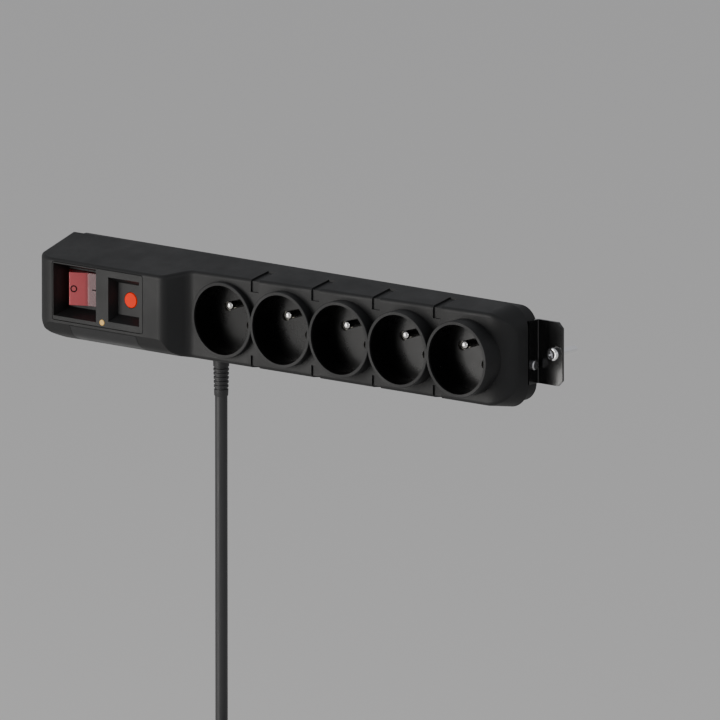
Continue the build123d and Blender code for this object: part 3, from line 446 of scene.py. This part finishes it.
mark_ink = plastic(
    "mark_ink", (0.010, 0.001, 0.002), (0.016, 0.002, 0.003), rough=(0.6, 0.75), grain=0.1, specular=0.1)
mark_proud = 0.00006
ring_outer, ring_inner, ring_from_edge = 0.00205, 0.00130, 0.0029
bar_length, bar_height, bar_from_valley = 0.0042, 0.0008, 0.0050


def on_rocker(half, along):
    """Where a mark lies: half is -1 on the left and 1 on the right, and along runs out from the valley."""
    across = Vector((cos(rocker_valley) * half, -sin(rocker_valley), 0))
    spot = Vector((0, -valley_reach, 0)) + across * along
    sideways = across * half
    outward = sideways.cross(Vector((0, 0, 1)))
    flat = Matrix((sideways, (0, 0, 1), outward)).transposed().to_4x4()
    flat.translation = spot
    return Matrix.Translation(rocker_pivot) @ Matrix.Rotation(rocker_tilt, 4, "Z") @ flat


off_mark = bmesh.new()
for ring_radius in (ring_outer, ring_inner):
    bmesh.ops.create_circle(off_mark, cap_ends=False, segments=48, radius=ring_radius)
bmesh.ops.bridge_loops(off_mark, edges=off_mark.edges)
lifted = bmesh.ops.extrude_face_region(off_mark, geom=off_mark.faces[:])
bmesh.ops.translate(off_mark, vec=(0, 0, mark_proud),
                    verts=[v for v in lifted["geom"] if isinstance(v, bmesh.types.BMVert)])
bmesh.ops.transform(off_mark, matrix=on_rocker(-1, half_rocker - ring_from_edge), verts=off_mark.verts)
off_ring = placed("off_ring", off_mark)

on_mark = bmesh.new()
bmesh.ops.create_cube(on_mark, size=1.0)
bmesh.ops.scale(on_mark, vec=(bar_length, bar_height, 2 * mark_proud), verts=on_mark.verts)
bar_corners = [edge for edge in on_mark.edges if abs(edge.verts[0].co.z - edge.verts[1].co.z) > mark_proud]
bmesh.ops.bevel(on_mark, geom=bar_corners, offset=0.00025, segments=3, profile=0.5, affect="EDGES",
                material=-1)
bmesh.ops.transform(on_mark, matrix=on_rocker(1, bar_from_valley), verts=on_mark.verts)
on_bar = placed("on_bar", on_mark)
for mark in (off_ring, on_bar):
    mark.data.materials.append(mark_ink)
    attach(mark, "rocker")

housing_nylon = plastic(
    "housing_nylon", (0.018, 0.018, 0.019), (0.026, 0.026, 0.027), rough=(0.5, 0.65), grain=0.4)
finish("switch_housing", housing_nylon)
finish("switch_terminals", contact_brass)

neon_glass = bpy.data.materials.new("neon_glass")
neon_glass.use_nodes = True
neon_shader = neon_glass.node_tree.nodes["Principled BSDF"]
neon_shader.inputs["Base Color"].default_value = (1.0, 0.62, 0.40, 1)
neon_shader.inputs["Transmission Weight"].default_value = 0.85
neon_shader.inputs["Roughness"].default_value = 0.05
neon_shader.inputs["IOR"].default_value = 1.47
neon_shader.inputs["Emission Color"].default_value = (1.0, 0.30, 0.10, 1)
neon_shader.inputs["Emission Strength"].default_value = 0.4
finish("switch_lamp", neon_glass)
finish("indicator_lamp", neon_glass)

# ---- Breaker and reset button -------------------------------------------
# A black thermal breaker sits behind its pocket, with two brass blades. Its
# orange push button stands a little proud, and pops out when the breaker trips.
finish("breaker_body", housing_nylon)
finish("breaker_terminals", contact_brass)
button_orange = plastic(
    "button_orange", (0.66, 0.020, 0.003), (0.74, 0.028, 0.005), rough=(0.50, 0.62), grain=0.12,
    spread=160, specular=0.1)
button_shader = button_orange.node_tree.nodes["Principled BSDF"]
# Painted glow: a faint orange emission makes the button look bright, though it holds no lamp.
button_shader.inputs["Emission Color"].default_value = (1.0, 0.045, 0.008, 1)
button_shader.inputs["Emission Strength"].default_value = 0.22
finish("reset_button", button_orange)

# ---- Indicator ----------------------------------------------------------
# A small domed lens in pale amber, pushed through the panel's bar from
# behind, with its own lamp.
lens_amber = plastic(
    "lens_amber", (0.50, 0.26, 0.035), (0.64, 0.36, 0.06), rough=(0.16, 0.26), grain=0.05, spread=400,
    coat=0.3)
lens_shader = lens_amber.node_tree.nodes["Principled BSDF"]
lens_shader.inputs["Emission Color"].default_value = (1.0, 0.72, 0.28, 1)
lens_shader.inputs["Emission Strength"].default_value = 0.25
finish("indicator_lens", lens_amber)

# ---- Surge board and inner wiring ---------------------------------------
# A small green board carries three blue disc varistors. Coloured cores run
# from the lead to the switch, the breaker and the rails.
board_mask = plastic(
    "board_mask", (0.020, 0.17, 0.07), (0.030, 0.22, 0.10), rough=(0.3, 0.42), grain=0.1, size=1600,
    spread=120)
varistor_epoxy = plastic(
    "varistor_epoxy", (0.03, 0.09, 0.36), (0.05, 0.13, 0.46), rough=(0.25, 0.4), grain=0.2, size=900)
finish("surge_board", board_mask)
finish("surge_varistors", varistor_epoxy)
for wire, dark, light in (
    ("wire_live", (0.16, 0.06, 0.025), (0.22, 0.09, 0.04)),
    ("wire_neutral", (0.02, 0.10, 0.42), (0.04, 0.15, 0.52)),
    ("wire_earth", (0.05, 0.30, 0.05), (0.55, 0.55, 0.04)),
    ("jumper_wires", (0.020, 0.020, 0.022), (0.030, 0.030, 0.033)),
):
    finish(wire, plastic(wire + "_sleeve", dark, light, rough=(0.35, 0.45), grain=0.1, size=1500, spread=300))

# ---- Clamp and screws ---------------------------------------------------
# A nylon saddle grips the lead on two posts. Zinc-plated screws hold it, and
# eight more join the covers from behind.
zinc_steel = metal(
    "zinc_steel", (0.58, 0.58, 0.60), (0.44, 0.44, 0.45), rough=(0.22, 0.36), marks=0.2)
finish("cord_clamp", shutter_nylon)
for screws in ("clamp_screws", "cover_screws", "bracket_screws"):
    finish(screws, zinc_steel)

# ---- Brackets and wall screws -------------------------------------------
# Two folded steel angles in gloss black enamel, each screwed to an end of the
# rear cover and to the wall with a bright pan-head screw.
bracket_enamel = plastic(
    "bracket_enamel", (0.0030, 0.0030, 0.0032), (0.0045, 0.0045, 0.0048), rough=(0.16, 0.26), grain=0.10,
    size=600, spread=40, coat=0.3)
finish("bracket_left", bracket_enamel)
finish("bracket_right", bracket_enamel)
screw_chrome = metal(
    "screw_chrome", (0.94, 0.94, 0.95), (0.86, 0.86, 0.87), rough=(0.07, 0.14), marks=0.04)
finish("wall_screws", screw_chrome)

# ---- Coil ties and plug -------------------------------------------------
# Two woven straps hold the coil. The plug is one black moulding over the end
# of the lead, with two round nickel pins and sprung earth clips.
strap_weave = plastic(
    "strap_weave", (0.018, 0.018, 0.019), (0.040, 0.040, 0.042), rough=(0.7, 0.85), grain=0.9, size=1300,
    spread=700)
finish("cord_ties", strap_weave)
plug_plastic = plastic(
    "plug_plastic", (0.0175, 0.0178, 0.0185), (0.0235, 0.0238, 0.0245), rough=(0.42, 0.55), grain=0.4)
finish("plug_body", plug_plastic)
finish("plug_pins", pin_nickel)
finish("plug_earth_clips", pin_nickel)
